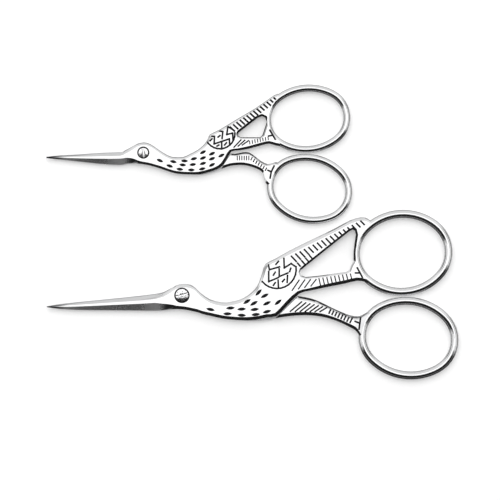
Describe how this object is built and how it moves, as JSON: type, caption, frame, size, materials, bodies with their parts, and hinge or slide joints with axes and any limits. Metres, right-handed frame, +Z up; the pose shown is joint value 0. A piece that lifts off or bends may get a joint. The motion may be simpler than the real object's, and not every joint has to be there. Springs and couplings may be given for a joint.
{
  "type": "embroidery_scissors",
  "caption": "Stork-shaped embroidery scissors in a large and a small size, forged halves with finger rings hinged on slotted pivot screws, lying closed side by side.",
  "frame": {"origin": "on the table, under the middle of the bounding box of the two closed pairs", "axes": "+Z is up from the table. +X runs from the blades' tips to the finger rings, along both pairs. +Y runs from the large pair to the small pair, towards the storks' backs and wings."},
  "size_m": [0.1142, 0.0818, 0.0029],
  "materials": {
    "plated_steel": "polished, bright plated, with dark recesses",
    "screw_steel": "turned and slotted, duller than the halves"
  },
  "bodies": {
    "large_upper_and_small_lower": {"large_top_half": "plated_steel", "small_under_half": "plated_steel", "small_pivot_screw": "screw_steel"},
    "large_lower": {"large_under_half": "plated_steel", "large_pivot_screw": "screw_steel"},
    "small_upper": {"small_top_half": "plated_steel"}
  },
  "joints": [
    {"name": "large_open", "type": "hinge", "parent": "large_upper_and_small_lower", "child": "large_lower", "pos_m": [-0.01953, -0.01752, 0.0014], "axis": [0, 0, -1], "range_deg": [0, 40]},
    {"name": "small_open", "type": "hinge", "parent": "large_upper_and_small_lower", "child": "small_upper", "pos_m": [-0.03023, 0.02198, 0.0012], "axis": [0, 0, 1], "range_deg": [0, 35]}
  ]
}
